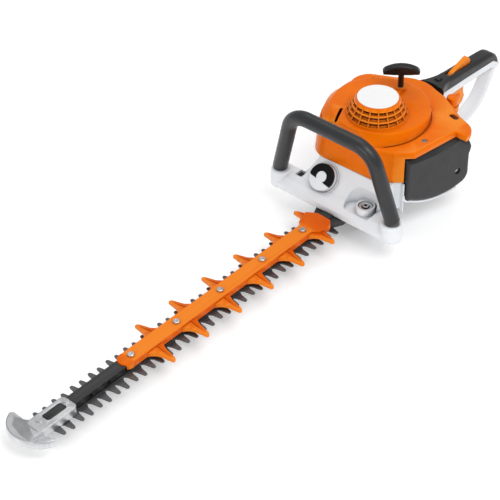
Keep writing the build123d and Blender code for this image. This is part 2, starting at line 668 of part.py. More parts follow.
def housing_skirt():
    """White wall that closes the engine bay below the orange shroud."""
    skirt = engine_bay(SKIRT_INSET, SKIRT_BOTTOM, SHROUD_BOTTOM)
    return skirt - engine_bay(SKIRT_INSET + WALL, SKIRT_BOTTOM - 1, SHROUD_BOTTOM + 1)


def filter_bay(past_rear):
    """The space that the air filter and its cover take out of the side walls."""
    length = FILTER_LENGTH + 3 + past_rear
    return FILTER_FACE * (Pos(length / 2 - 1.5, FILTER_HEIGHT / 2 - 14, 0)
                          * Box(length, FILTER_HEIGHT + 31, 2 * (FILTER_DEPTH + 5)))


def filter_sill():
    """White tray that the filter cover stands in."""
    outer = offset(filter_outline(0), 4, kind=Kind.ARC)
    inner = offset(filter_outline(0), 0.4, kind=Kind.ARC)
    tray = FILTER_FACE * (Pos(0, 0, -FILTER_DEPTH - 9) * extrude(outer - inner, FILTER_DEPTH + 6))
    back = FILTER_FACE * (Pos(0, 0, -FILTER_DEPTH - 9) * extrude(outer, 4))
    kept = FILTER_FACE * (Pos(48, -12, 0) * Box(112, 56, 2 * (FILTER_DEPTH + 12)))
    front_wall = FILTER_FACE * (Pos(-2.3, 12, -FILTER_DEPTH / 2 - 6) * Box(WALL, 54, FILTER_DEPTH + 6))
    return ((tray + back) & kept) + front_wall


def mount_scoop():
    """Hollow in the slope round the front mount."""
    return Pos(*SCOOP, SCOOP_FLOOR) * extrude(SlotCenterToCenter(22, 34.5), 60)


def front_housing():
    """White moulding: fuel tank with sloping front, handle feet, rim and lower skirt."""
    top = SHROUD_BOTTOM
    profile = [(RIM_FRONT, 54), (RIM_FRONT, 64), SLOPE_FOOT, SLOPE_HEAD, (-46, top), (-46, 54)]
    body = slab(profile, 76)
    body = fillet(body.edges().filter_by(Axis.X).sort_by(Axis.Z)[-1], 2)
    body -= extrude(Plane.XZ * outline([(-55, top + 2), (-70, 80), (-90, 80), (-90, top + 2)]), 150,
                    both=True)
    wings = slab([(RIM_FRONT, 54), (RIM_FRONT, 64), (-108, 75), (-98, 80), (-80, 80), (-76, 54)], FOOT_X)
    wings = fillet(wings.edges().filter_by(Axis.X).sort_by(Axis.Z)[-2:], 3)
    body += wings + (housing_skirt() - filter_bay(30)) + filter_sill()
    for side in (-1, 1):
        foot = disc(side * FOOT_X, FOOT_Y, 54, FOOT_TOP, 18)
        body += fillet(foot.edges().sort_by(Axis.Z)[-1], 5)
        body -= handle_leg(side)
    body -= block(-70, 70, RIM_FRONT + 10.5, -40, 53, 65)
    body -= block(-BAR_HALF - 0.5, BAR_HALF + 0.5, RIM_FRONT - 1, -100, 53, BAR_TOP + 0.6)
    body -= Pos(-23, 0, 0) * slab([(-98, 67.5), (-98, 74), (-70, 107), (-49, 107), (-49, 67.5)], 36)
    body += CAP_PLANE * (Pos(0, 0, -2) * Cylinder(25.5, 7))
    body -= CAP_PLANE * (Pos(0, 0, 2.5) * Cylinder(22.6, 5))
    body -= CAP_PLANE * (Pos(0, 0, -5) * Cylinder(CAP_PLUG_RADIUS, 24))
    body -= block(*LEFT_MOUNT_POCKET, 70, 84)
    body -= mount_scoop()
    x, y = FRONT_MOUNT
    body += disc(x, y, 65.5, MOUNT_TOP, 15)
    body -= disc(x, y, MOUNT_TOP - 7, MOUNT_TOP + 1, 12.2)
    return body - crossbar(-115, -92, OUTLET_Y, OUTLET_Z, 8)


def av_mounts():
    """Screwed spring mounts that carry the handle housing on the engine."""
    x, y = FRONT_MOUNT
    floor = MOUNT_TOP - 7
    front = disc(x, y, floor, floor + 3, 12.2) + disc(x, y, floor + 3, floor + 5.5, 6.0)
    front -= Pos(x, y, floor + 4) * extrude(RegularPolygon(3, 6), 3)
    x0, x1, y0, y1 = LEFT_MOUNT_POCKET
    gap = 0.3
    left = fillet(block(x0 + gap, x1 - gap, y0 + gap, y1 - gap, 70, 76).edges().filter_by(Axis.Z), 2.5)
    rear = block(-16, 16, GEARBOX_REAR, GEARBOX_REAR + 6, 46, 55)
    return group([front, left, rear])


# ---- fuel cap -----------------------------------------------------------------------
CAP_GRIP_TURN = -10.0        # turn of the grip's hinge line on the cap
CAP_HINGE = -4.0             # the hinge line's place below the hub
CAP_HINGE_Z = 10.6           # the hinge line's height over the cap's seat
CAP_GRIP_OUTER = 21.7
CAP_GRIP_INNER = 10.2
CAP_GRIP_THICK = 4.6
CAP_HUB_RADIUS = 9.2
CAP_PIN_RADIUS = 1.1


def cap_hinge_line(side, near, far, radius):
    """A round bar on the hinge line of the cap's grip, between two distances from the middle."""
    return crossbar(side * near, side * far, CAP_HINGE, CAP_HINGE_Z, radius)


def fuel_cap():
    """White cap with a raised hub and a groove for its folding grip."""
    cap = Pos(0, 0, 6.5) * Cylinder(CAP_RADIUS, 12.4)
    cap = fillet(cap.edges().sort_by(Axis.Z)[-1], 1.0)
    groove = Pos(0, 0, 12) * (Cylinder(CAP_RADIUS + 2, 8) - Cylinder(CAP_HUB_RADIUS, 9))
    groove -= Pos(0, CAP_HINGE - CAP_GRIP_THICK / 2 - 30.4, 12) * Box(80, 60, 12)
    cap -= groove
    for side in (-1, 1):
        cap -= cap_hinge_line(side, 6.8, CAP_HUB_RADIUS + 1, CAP_PIN_RADIUS + RUNNING)
    cap += Pos(0, 0, -6) * Cylinder(CAP_PLUG_RADIUS - 0.08, 13)
    return CAP_PLANE * Rot(0, 0, CAP_GRIP_TURN) * cap


def cap_grip():
    """C-shaped grip that folds up out of the cap's groove on two round pins in the hub."""
    band = Cylinder(CAP_GRIP_OUTER, CAP_GRIP_THICK) - Cylinder(CAP_GRIP_INNER, CAP_GRIP_THICK + 1)
    band -= Pos(0, CAP_HINGE - 20, 0) * Box(60, 40, 10)
    grip = Pos(0, 0, CAP_HINGE_Z) * band
    for side in (-1, 1):
        grip += cap_hinge_line(side, CAP_GRIP_INNER - 0.6, CAP_GRIP_OUTER - 1.0, CAP_GRIP_THICK / 2)
        grip += cap_hinge_line(side, 7.0, CAP_GRIP_INNER + 1, CAP_PIN_RADIUS)
    return CAP_PLANE * Rot(0, 0, CAP_GRIP_TURN) * grip


# ---- front handle -------------------------------------------------------------------
HANDLE_SLEEVE_END = (112.5, -100.0, 86.0)
HANDLE_CORNER = (77.0, -114.0, 208.5)
HANDLE_BURIED = 12.0         # length of tube below the sleeve
HANDLE_BEND = 40.0


def handle_foot():
    """Lower end of the right leg of the tube, on the line of the sleeve's leg."""
    end = Vector(*HANDLE_SLEEVE_END)
    run = (end - Vector(*HANDLE_CORNER)).normalized()
    return end + run * HANDLE_BURIED


def handle_path(end):
    cx, cy, cz = HANDLE_CORNER
    return FilletPolyline((-end.X, end.Y, end.Z), (-cx, cy, cz), (cx, cy, cz), (end.X, end.Y, end.Z),
                          radius=HANDLE_BEND)


def handle_sweep(end, radius):
    path = handle_path(end)
    section = Plane(origin=path @ 0, z_dir=path % 0) * Circle(radius)
    return sweep(section, path=path)


def handle_leg(side):
    """The stretch of tube that is clamped in a foot, as a straight cylinder."""
    foot, end = handle_foot(), Vector(*HANDLE_SLEEVE_END)
    start = Vector(side * foot.X, foot.Y, foot.Z)
    run = Vector(side * end.X, end.Y, end.Z) - start
    leg = Cylinder(HANDLE_TUBE_RADIUS, 2 * run.length)
    return Plane(origin=start, z_dir=run) * Pos(0, 0, run.length) * leg


def handle_tube():
    bore = handle_sweep(handle_foot(), HANDLE_TUBE_RADIUS - HANDLE_TUBE_WALL)
    return handle_sweep(handle_foot(), HANDLE_TUBE_RADIUS) - bore


def handle_sleeve():
    sleeve = handle_sweep(Vector(*HANDLE_SLEEVE_END), SLEEVE_RADIUS)
    return sleeve - handle_sweep(handle_foot(), HANDLE_TUBE_RADIUS)


# ---- shroud and starter -------------------------------------------------------------
LOUVRES = 6
SHROUD_SCREW_PLACES = ((88.0, 7.0), (-78.0, 92.0))
DECK_SLOT = (83.5, 89.5)     # oval opening near the deck's rear right corner
FAN_FOOT = (-16.0, 12.0)     # middle of the fan housing's foot on the deck
FAN_FOOT_RADIUS = 89.5
FAN_OPENING = 74.0
PLATEAU_SETBACK = 4.0        # least distance of the fan housing from the deck's edge
FRONT_SLIT = (-44.0, -41.0)
REAR_SLIT = (50.0, 76.0)
SLIT_WIDTH = 5.0
GRILLE_WINDOWS = 18
GRILLE_RIB = 2.1
GRILLE_ROWS = ((187.0, 193.4), (195.5, 201.5), (203.5, 208.5))
POST_RADIUS = 7.5
GRIP_TURN = 40.0


def fan_groove():
    """Narrow groove in the deck along the right and rear foot of the fan housing."""
    x, y = FAN_FOOT
    groove = ring(x, y, DECK_Z - 1.7, DECK_Z + 1, FAN_FOOT_RADIUS + 2.2, FAN_FOOT_RADIUS - 0.5)
    kept = Pos(x, y, DECK_Z) * Rot(0, 0, 28) * Pos(60, 0, 0) * Box(120, 170, 6)
    return groove & kept & engine_bay(PLATEAU_SETBACK, DECK_Z - 3, DECK_Z + 2)


def shroud():
    """Orange cover over the engine, open below, at the air filter and under the fan housing."""
    cover = engine_bay(0, SHROUD_BOTTOM, DECK_Z, 1.0)
    cover = fillet(cover.faces().sort_by(Axis.Z)[-1].edges(), 3.0)
    cover -= engine_bay(WALL, SHROUD_BOTTOM, DECK_Z - WALL, 1.0)
    cover -= disc(FAN_FOOT[0] + 2, FAN_FOOT[1] + 6, DECK_Z - 9, DECK_Z + 9, FAN_OPENING)
    cover -= fan_groove()
    cover -= filter_bay(0)
    x, y = CHOKE_PLACE
    ledge = disc(x, y, CHOKE_Z - 10, CHOKE_Z - 0.4, 11) + Pos(x, y, CHOKE_Z - 5.2) * Rot(0, 0, 58) * (
        Pos(-12, 0, 0) * Box(22, 20, 9.6))
    cover += ledge - engine_bay(WALL, SHROUD_BOTTOM, DECK_Z)
    cover -= disc(x, y, CHOKE_Z - 20, CHOKE_Z + 5, 4.0 + RUNNING)
    cover -= barrel(0, 128, 148, 138.5, 4.0)
    for k in range(LOUVRES):
        cover -= block(-112, -92, 26 + 9 * k, 30 + 9 * k, 122, 156)
    for x, y in SHROUD_SCREW_PLACES:
        cover += disc(x, y, DECK_Z - 7, DECK_Z - 1, 6.5)
        cover -= disc(x, y, DECK_Z - 8, DECK_Z + 1, 2.0)
        cover -= disc(x, y, DECK_Z - 2.6, DECK_Z + 1, 4.8)
    return cover - Pos(*DECK_SLOT, DECK_Z) * Rot(0, 0, -12) * extrude(SlotOverall(18, 10), 8, both=True)


def plateau(inset, z1):
    """Leaning round wall of the fan housing, cut off where it would pass the shroud's walls."""
    foot = Pos(*FAN_FOOT, DECK_Z) * Circle(FAN_FOOT_RADIUS - inset)
    crown = Pos(PLATEAU_X, PLATEAU_Y, z1) * Circle(PLATEAU_RADIUS - inset)
    return loft([foot, crown], ruled=True)


def grille_row(z0, z1):
    """One ring of windows through the dome's wall."""
    slope = (DOME_BASE_RADIUS - DOME_TOP_RADIUS) / (DOME_TOP - PLATEAU_Z)
    radius = DOME_BASE_RADIUS - slope * ((z0 + z1) / 2 - PLATEAU_Z)
    width = 2 * math.pi * radius / GRILLE_WINDOWS - GRILLE_RIB
    window = block(radius - 7, radius + 4, -width / 2, width / 2, z0, z1)
    return [Rot(0, 0, 360 / GRILLE_WINDOWS * k) * window for k in range(GRILLE_WINDOWS)]


def starter_cover():
    """Fan housing: a raised round plateau and the grilled starter dome."""
    cover = plateau(0, PLATEAU_Z)
    cover = fillet(cover.edges().sort_by(Axis.Z)[-1], 4)
    cover = cover & engine_bay(PLATEAU_SETBACK, DECK_Z, PLATEAU_Z + 1)
    cover -= plateau(WALL, PLATEAU_Z - WALL) & engine_bay(PLATEAU_SETBACK + WALL, DECK_Z - 1, PLATEAU_Z)
    height = DOME_TOP - PLATEAU_Z
    dome = Pos(0, 0, PLATEAU_Z + height / 2) * Cone(DOME_BASE_RADIUS, DOME_TOP_RADIUS, height)
    dome = fillet(dome.edges().sort_by(Axis.Z)[-1], 1.6)
    hollow = Pos(0, 0, PLATEAU_Z + height / 2 - WALL) * Cone(
        DOME_BASE_RADIUS - WALL, DOME_TOP_RADIUS - WALL, height)
    cover += dome
    cover -= hollow
    for z0, z1 in GRILLE_ROWS:
        for window in grille_row(z0, z1):
            cover -= window
    duct = block(GRIP_X - 7, GRIP_X + 7, 44, GRIP_Y, PLATEAU_Z - WALL, PLATEAU_Z + 3.4)
    cover += fillet(duct.edges().filter_by(Axis.Y).sort_by(Axis.Z)[-2:], 3) - hollow
    cover += disc(0, 0, 187.0, DOME_TOP - WALL, POST_RADIUS)
    cover += disc(GRIP_X, GRIP_Y, PLATEAU_Z - WALL, PLATEAU_Z + 5, 8.0)
    for place, turn, length in ((FRONT_SLIT, 113, 36), (REAR_SLIT, -69, 18)):
        slit = extrude(SlotOverall(length, SLIT_WIDTH), 12, both=True)
        cover -= Pos(*place, PLATEAU_Z) * Rot(0, 0, turn) * slit
    return cover - disc(GRIP_X, GRIP_Y, PLATEAU_Z - 10, PLATEAU_Z + 6, 4.0)


def rope_bush():
    return ring(GRIP_X, GRIP_Y, PLATEAU_Z - WALL, PLATEAU_Z + 6.2, 4.0, 2.3)


def label_disc():
    disc_body = disc(0, 0, DOME_TOP, DOME_TOP + 1.0, 32.6)
    return fillet(disc_body.edges().sort_by(Axis.Z)[-1], 0.4)


def starter_pulley():
    """Rope pulley on the dome's post."""
    pulley = disc(0, 0, 188, 190, 30) + disc(0, 0, 196, 198, 30) + disc(0, 0, 188, 198, 22)
    return pulley - disc(0, 0, 180, 210, POST_RADIUS + RUNNING)


def rope_windings():
    """The turns of starter rope on the pulley, as one ring."""
    return ring(0, 0, 190.2, 195.8, 28.5, 22.0)


def recoil_spring():
    """Flat spiral spring in the top of the dome."""
    return group(ring(0, 0, 200, 206, 11.0 + 3.2 * k, 9.8 + 3.2 * k) for k in range(5))


def starter_grip():
    """T-shaped pull grip, its bar turned to face forward and right."""
    base = PLATEAU_Z + 6.6
    stem = disc(0, 0, 0, 24, 4.6)
    bar_side = make_face(Curve() + [
        Polyline((-28.5, 24), (-29.5, 29), (-26, 33)),
        ThreePointArc((-26, 33), (0, 40), (26, 33)),
        Polyline((26, 33), (29.5, 29), (28.5, 24), (12, 23), (-12, 23), (-28.5, 24)),
    ])
    bar = extrude(Plane.XZ * bar_side, 6.6, both=True)
    bar = fillet(bar.edges().filter_by(Axis.Y, reverse=True), 2.6)
    grip = stem + bar - disc(0, 0, -1, 20, 1.8)
    return Pos(GRIP_X, GRIP_Y, base) * Rot(0, 0, GRIP_TURN) * grip


def starter_rope():
    return disc(GRIP_X, GRIP_Y, PLATEAU_Z - 8, PLATEAU_Z + 6.6 + 20, 1.8)


# ---- rear handle --------------------------------------------------------------------
GRIP_FRONT = 143.0
GRIP_HALF = 13.5
TRIGGER_PIVOT = (196.0, 136.0)
LOCKOUT_PIVOT = (192.0, 152.0)
STOP_Y = 161.0


def grip_flare():
    """The grip's front end, widened where it meets the shroud."""
    faces = []
    for behind, width, height, z in ((0, 48, 20, 156), (14, 34, 20, 156), (42, 26, 18, 155)):
        plane = Plane(origin=(0, GRIP_FRONT + behind, z), x_dir=(1, 0, 0), z_dir=(0, 1, 0))
        faces.append(plane * RectangleRounded(width, height, 6))
    return loft(faces)


def rear_grip():
    """Black upper half of the rear grip."""
    fall = (1, -0.1)
    top = make_face(Curve() + [
        Polyline((GRIP_FRONT, 146), (GRIP_FRONT, 168)),
        Spline((GRIP_FRONT, 168), (215, 161.5), (289, 156), tangents=((1, -0.13), fall)),
        TangentArc((289, 156), (316.5, 128), tangent=fall),
        Polyline((316.5, 128), (298, 140), (225, 144), (170, 146), (GRIP_FRONT, 146)),
    ])
    body = extrude(Plane.YZ * top, GRIP_HALF, both=True)
    curved = body.edges().filter_by(lambda e: e.geom_type != GeomType.LINE)
    body = fillet(curved, 7) + grip_flare()
    body -= block(-5.2, 5.2, 183, 247, 147.5, 190)
    body -= block(-4.4, 4.4, STOP_Y - 5.4, STOP_Y + 5.4, 157, 190)
    y, z = LOCKOUT_PIVOT
    return body - crossbar(-11, 11, y, z, 1.5)


def rear_handle():
    """White lower half of the grip with the hand loop, the post and the arm under the engine."""
    grip = outline([(GRIP_FRONT, 146), (170, 146), (225, 144), (298, 140), (316.5, 128),
                    (310, 121), (292, 128), (225, 131.5), (GRIP_FRONT, 132)])
    shell = extrude(Plane.YZ * grip, GRIP_HALF - 0.5, both=True)
    route = Plane.YZ * Spline((306, 129), (301, 114), (289, 91), (273, 71), (254, 59.5), (230, 52.5),
                              (190, 49.5), (GRIP_FRONT, 49.5), tangents=((-0.2, -1), (-1, 0)))
    loop = sweep(Plane(origin=route @ 0, x_dir=(1, 0, 0), z_dir=route % 0) * RectangleRounded(25, 10, 4),
                 path=route)
    body = shell + loop + block(-15, 15, GRIP_FRONT, GRIP_FRONT + 14, 44, 146)
    body += block(-16, 16, GEARBOX_REAR + 6, GRIP_FRONT + 1, 44, 56)
    body -= block(-4.6, 4.6, 187, 238, 120, 150)
    body -= barrel(0, GRIP_FRONT - 1, 188, 138.5, 2.6)
    y, z = TRIGGER_PIVOT
    return body - crossbar(-11, 11, y, z, 2.0)


def throttle_trigger():
    """Trigger hung under the grip."""
    side = outline([(190, 133), (192, 140), (200, 140.5), (206, 134), (230, 131), (228, 113), (232, 101),
                    (227, 91), (220, 88), (214, 96), (212, 108), (204, 122), (192, 129)])
    side = fillet(side.vertices(), 1.2)
    body = extrude(Plane.YZ * side, 4.0, both=True)
    y, z = TRIGGER_PIVOT
    return body - crossbar(-10, 10, y, z, 2.0 + RUNNING)


def lockout_lever():
    """Orange lockout lever in the top of the grip."""
    side = outline([(186, 153), (188, 158), (196, 162), (236, 173.5), (242, 167), (243, 160),
                    (236, 155.5), (210, 150.5), (190, 148.5)])
    side = fillet(side.vertices(), 1.2)
    body = extrude(Plane.YZ * side, 4.2, both=True)
    y, z = LOCKOUT_PIVOT
    return body - crossbar(-10, 10, y, z, 1.5 + RUNNING)


def lever_pins():
    trigger = crossbar(-11, 11, *TRIGGER_PIVOT, 2.0)
    lockout = crossbar(-11, 11, *LOCKOUT_PIVOT, 1.5)
    return group([trigger, lockout])


def throttle_cable():
    """Bowden cable from the trigger along the post to the carburettor."""
    route = [(0, 189, 138.5), (0, 134, 138.5), (18, 118, 136), (53, 104, 121), (53, 78.6, 116)]
    path = FilletPolyline(*route, radius=10)
    return sweep(Plane(origin=path @ 0, z_dir=path % 0) * Circle(2.0), path=path)


def stop_switch():
    """Stop button in the front of the grip."""
    button = block(-4, 4, STOP_Y - 5, STOP_Y + 5, 160, 169)
    return fillet(button.faces().sort_by(Axis.Z)[-1].edges(), 1.0)


def shroud_screws():
    screws = []
    for x, y in SHROUD_SCREW_PLACES:
        head = disc(x, y, DECK_Z - 2.6, DECK_Z - 0.4, 4.2) - disc(x, y, DECK_Z - 1.6, DECK_Z + 1, 2.2)
        screws.append(head + disc(x, y, DECK_Z - 8, DECK_Z - 2.6, 2.0))
    return group(screws)


NODES = [
    gear_housing, gear_cover, cover_screws, gear_bearings, drive_gear, drive_cams, clutch_drum,
    upper_blade, lower_blade, upper_yoke, lower_yoke, guide_bar, guide_bolts, guide_nuts,
    tooth_guard, tip_guard, tip_screws,
    crankcase, crank_bearings, crankshaft, big_end_bearing, connecting_rod, piston, piston_pin,
    cylinder, spark_plug, plug_boot, clutch_shoes, flywheel, ignition_module, muffler, carburettor,
    filter_base, air_filter, filter_cover, filter_screw, choke_knob,
    front_housing, av_mounts, fuel_cap, cap_grip, handle_tube, handle_sleeve,
    shroud, shroud_screws, starter_cover, label_disc, rope_bush, starter_pulley, rope_windings,
    recoil_spring, starter_grip, starter_rope,
    rear_handle, rear_grip, throttle_trigger, lockout_lever, lever_pins, throttle_cable, stop_switch,
]


def main():
    os.makedirs("parts", exist_ok=True)
    for make in NODES:
        export_step(make().moved(Location((0, 0, -STAND_DROP))), f"parts/{make.__name__}.step")


main()
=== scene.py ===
import json
import math

import bmesh
import bpy
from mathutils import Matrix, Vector


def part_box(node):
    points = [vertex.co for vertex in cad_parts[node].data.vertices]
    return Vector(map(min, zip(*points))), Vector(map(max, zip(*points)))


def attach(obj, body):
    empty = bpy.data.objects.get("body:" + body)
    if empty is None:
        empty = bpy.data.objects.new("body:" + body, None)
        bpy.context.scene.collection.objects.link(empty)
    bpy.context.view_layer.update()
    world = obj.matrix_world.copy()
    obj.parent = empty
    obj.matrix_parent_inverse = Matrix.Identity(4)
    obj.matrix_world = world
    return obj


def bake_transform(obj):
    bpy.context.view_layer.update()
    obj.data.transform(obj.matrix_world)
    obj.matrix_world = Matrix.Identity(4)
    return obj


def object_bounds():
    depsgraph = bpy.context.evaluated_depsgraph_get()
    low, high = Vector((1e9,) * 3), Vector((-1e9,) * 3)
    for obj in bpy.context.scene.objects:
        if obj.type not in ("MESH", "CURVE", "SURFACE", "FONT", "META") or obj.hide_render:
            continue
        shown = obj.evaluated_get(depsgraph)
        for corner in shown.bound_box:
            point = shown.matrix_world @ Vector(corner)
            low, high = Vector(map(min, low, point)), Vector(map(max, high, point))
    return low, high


# Petrol hedge trimmer. Metres; -Y is forward (blade tip), +X is the air-filter side, +Z is up.

RING_STEPS = 72              # sides of a piece turned about the vertical

# Louvre rings inside the starter dome: drop of the upper edge below the dome's top, height,
# outer radius of the upper edge.
LOUVRE_RINGS = ((0.0098, 0.0018, 0.0352), (0.0168, 0.0030, 0.0389), (0.0250, 0.0034, 0.0431))
LOUVRE_THICKNESS = 0.0012
DOME_LEAN = 0.5167           # how far out the dome's wall moves for each unit that it goes down

FRONT_MOUNT = (0.055, -0.093)    # centre of the front spring mount
MOUNT_SEAT = 0.0685              # height of the face its washer lies on
SCREW_RISE = 0.0026              # height of the screw's head above that face
FITTING_BEVEL = 0.0002

ROPE_RADIUS = 0.0016
ROPE_CORE = ROPE_RADIUS / 4  # the rope is a tube, so its ends are rings as well
ROPE_ROWS = 60
ROPE_FOOT_GAP = 0.0015       # the drawn-out rope starts this far above the CAD rope's lower end
ROPE_HEAD_GAP = 0.008        # and ends this far below its upper end

FLOOR_RADIUS = 6.0
FLOOR_GAP = 0.0002           # keeps the feet from flickering against the floor

LOOK_AT = (0.0, -0.2713, 0.028)
CAMERA_PLACE = (1.4709, -1.9745, 1.8567)
CAMERA_LENS = 137.1          # millimetres, as is the sensor
CAMERA_SENSOR = 36.0
CAMERA_SHIFT = (-0.027, 0.0354)
LIT_POINT = (0.0, -0.2, 0.05)    # where the softboxes face

# Colours that more than one material uses
ORANGE_HIGHLIGHT = (1.0, 0.36, 0.03)
# Painted shade for the seams and hollows of the orange mouldings
ORANGE_SHADE = (0.34, 0.035, 0.001)
WORN_BLACK = (0.05, 0.05, 0.05)

# Colour sockets of a Mix node, which go by number
MIX_FIRST, MIX_SECOND, MIX_RESULT = 6, 7, 2

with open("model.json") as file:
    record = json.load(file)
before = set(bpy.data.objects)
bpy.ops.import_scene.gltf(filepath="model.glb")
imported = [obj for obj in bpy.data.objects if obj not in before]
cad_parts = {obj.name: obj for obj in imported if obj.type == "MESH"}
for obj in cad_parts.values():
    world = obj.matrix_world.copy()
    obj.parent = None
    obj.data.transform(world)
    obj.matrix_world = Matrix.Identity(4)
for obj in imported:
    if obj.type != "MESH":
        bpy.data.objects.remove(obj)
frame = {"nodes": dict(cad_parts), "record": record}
nodes = frame["nodes"]
cad_low, cad_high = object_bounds()


def add_object(name, data):
    """A new object in the scene."""
    made = bpy.data.objects.new(name, data)
    bpy.context.scene.collection.objects.link(made)
    return made


def aim(thing, place, target):
    """Puts a lamp or the camera at place, facing target."""
    thing.location = place
    thing.rotation_mode = "QUATERNION"
    thing.rotation_quaternion = (Vector(target) - Vector(place)).to_track_quat("-Z", "Y")


# ---- shader helpers -----------------------------------------------------------------
def new_material(name):
    """A node material, its node tree and its principled shader."""
    made = bpy.data.materials.new(name)
    made.use_nodes = True
    tree = made.node_tree
    shader = tree.nodes["Principled BSDF"]
    return made, tree, shader


def noise(tree, scale, detail=3.0, stretch=None):
    """Noise in object space; stretch scales the axes to draw the grain out."""
    place = tree.nodes.new("ShaderNodeTexCoord")
    spots = tree.nodes.new("ShaderNodeTexNoise")
    spots.inputs["Scale"].default_value = scale
    spots.inputs["Detail"].default_value = detail
    socket = place.outputs["Object"]
    if stretch:
        mapping = tree.nodes.new("ShaderNodeMapping")
        mapping.inputs["Scale"].default_value = stretch
        tree.links.new(socket, mapping.inputs["Vector"])
        socket = mapping.outputs["Vector"]
    tree.links.new(socket, spots.inputs["Vector"])
    return spots.outputs["Fac"]


def spread(tree, value, low=0.0, high=1.0, low_at=0.35, high_at=0.65):
    """Maps a texture value to low at low_at and to high at high_at."""
    node = tree.nodes.new("ShaderNodeMapRange")
    node.inputs["From Min"].default_value = low_at
    node.inputs["From Max"].default_value = high_at
    node.inputs["To Min"].default_value = low
    node.inputs["To Max"].default_value = high
    tree.links.new(value, node.inputs["Value"])
    return node.outputs["Result"]


def mixed(tree, factor, first, second):
    """Colour mix; first and second are colours or sockets."""
    node = tree.nodes.new("ShaderNodeMix")
    node.data_type = "RGBA"
    tree.links.new(factor, node.inputs["Factor"])
    for place, value in ((MIX_FIRST, first), (MIX_SECOND, second)):
        if isinstance(value, tuple):
            node.inputs[place].default_value = (*value, 1.0)
        else:
            tree.links.new(value, node.inputs[place])
    return node.outputs[MIX_RESULT]


def drifting(tree, colour, second_colour, scale, detail=3.0):
    """Colour that drifts between two shades in soft patches."""
    return mixed(tree, spread(tree, noise(tree, scale, detail)), colour, second_colour)


def convex_edges(tree, start=0.53, softness=0.06):
    """1 on convex edges, 0 on flat and hollow faces."""
    geometry = tree.nodes.new("ShaderNodeNewGeometry")
    return spread(tree, geometry.outputs["Pointiness"], low_at=start, high_at=start + softness)


def hollow_shade(tree, tone, shade, reach=0.012, strength=0.75):
    """Painted shade: turns a colour towards shade in seams and hollows that are closed in within reach.
    """
    hollow = tree.nodes.new("ShaderNodeAmbientOcclusion")
    hollow.samples = 8
    hollow.inputs["Distance"].default_value = reach
    shade_amount = spread(tree, hollow.outputs["AO"], low=strength, high=0.0, low_at=0.35, high_at=0.95)
    return mixed(tree, shade_amount, tone, shade)


def uneven_gloss(tree, shader, texture, smoothest, roughest):
    """Roughness that follows a texture."""
    tree.links.new(spread(tree, texture, smoothest, roughest), shader.inputs["Roughness"])


def relief(tree, shader, bumps, edge_radius):
    """Bumps, each (texture value, strength, depth), over edges rounded by edge_radius."""
    normal = None
    if edge_radius:
        rounded = tree.nodes.new("ShaderNodeBevel")
        rounded.samples = 6
        rounded.inputs["Radius"].default_value = edge_radius
        normal = rounded.outputs["Normal"]
    for value, strength, depth in bumps:
        bump = tree.nodes.new("ShaderNodeBump")
        bump.inputs["Strength"].default_value = strength
        bump.inputs["Distance"].default_value = depth
        tree.links.new(value, bump.inputs["Height"])
        if normal:
            tree.links.new(normal, bump.inputs["Normal"])
        normal = bump.outputs["Normal"]
    tree.links.new(normal, shader.inputs["Normal"])


# ---- kinds of material --------------------------------------------------------------
def moulded_plastic(name, colour, second_colour, roughness, grain, edge_radius, coat=0.0,
                    specular=0.35, specular_tint=None, edge_colour=None, shade_colour=None):
    """Injection-moulded plastic: slight colour drift, fine grain, uneven gloss, painted shade in the
    seams and hollows.
    """
    made, tree, shader = new_material(name)
    shader.inputs["Specular IOR Level"].default_value = specular
    if specular_tint:
        shader.inputs["Specular Tint"].default_value = (*specular_tint, 1.0)
    tone = drifting(tree, colour, second_colour, scale=26.0, detail=4.0)
    # Lighter colour on convex edges: partly wear, partly a painted highlight
    if edge_colour:
        tone = mixed(tree, convex_edges(tree), tone, edge_colour)
    # Painted shade: the colour turns darker in seams and hollows, where less light reaches
    if shade_colour:
        tone = hollow_shade(tree, tone, shade_colour)
    tree.links.new(tone, shader.inputs["Base Color"])
    uneven_gloss(tree, shader, noise(tree, 90.0), smoothest=roughness - 0.05, roughest=roughness + 0.06)
    shader.inputs["Coat Weight"].default_value = coat
    shader.inputs["Coat Roughness"].default_value = 0.12
    fine_grain = (noise(tree, 1500.0, detail=2.0), grain, 0.00012)
    mould_waves = (noise(tree, 60.0, detail=2.0), 0.05, 0.0006)
    relief(tree, shader, [fine_grain, mould_waves], edge_radius)
    return made


def bare_metal(name, colour, second_colour, roughness, edge_radius, ground=False, edge_colour=None,
               metallic=1.0):
    """Unpainted metal: grinding streaks along Y where it is ground, a cast grain where it isn't."""
    made, tree, shader = new_material(name)
    shader.inputs["Metallic"].default_value = metallic
    grain = noise(tree, 1.0, stretch=(420.0, 24.0, 420.0)) if ground else noise(tree, 700.0)
    tone = drifting(tree, colour, second_colour, scale=38.0, detail=5.0)
    # Lighter colour on convex edges: partly wear, partly a painted highlight
    if edge_colour:
        tone = mixed(tree, convex_edges(tree), tone, edge_colour)
    tree.links.new(tone, shader.inputs["Base Color"])
    uneven_gloss(tree, shader, grain, smoothest=roughness - 0.08, roughest=roughness + 0.1)
    relief(tree, shader, [(grain, 0.25, 0.0002)], edge_radius)
    return made


def painted_metal(name, colour, second_colour, edge_colour, roughness, edge_radius):
    """Paint over metal: orange-peel bump and paint rubbed thin on the edges, which turn lighter."""
    made, tree, shader = new_material(name)
    shader.inputs["Specular IOR Level"].default_value = 0.2
    tone = drifting(tree, colour, second_colour, scale=45.0, detail=4.0)
    tone = mixed(tree, convex_edges(tree, start=0.55), tone, edge_colour)
    tree.links.new(tone, shader.inputs["Base Color"])
    uneven_gloss(tree, shader, noise(tree, 160.0), smoothest=roughness - 0.06, roughest=roughness + 0.08)
    orange_peel = (noise(tree, 900.0, detail=2.0), 0.2, 0.00015)
    relief(tree, shader, [orange_peel], edge_radius)
    return made


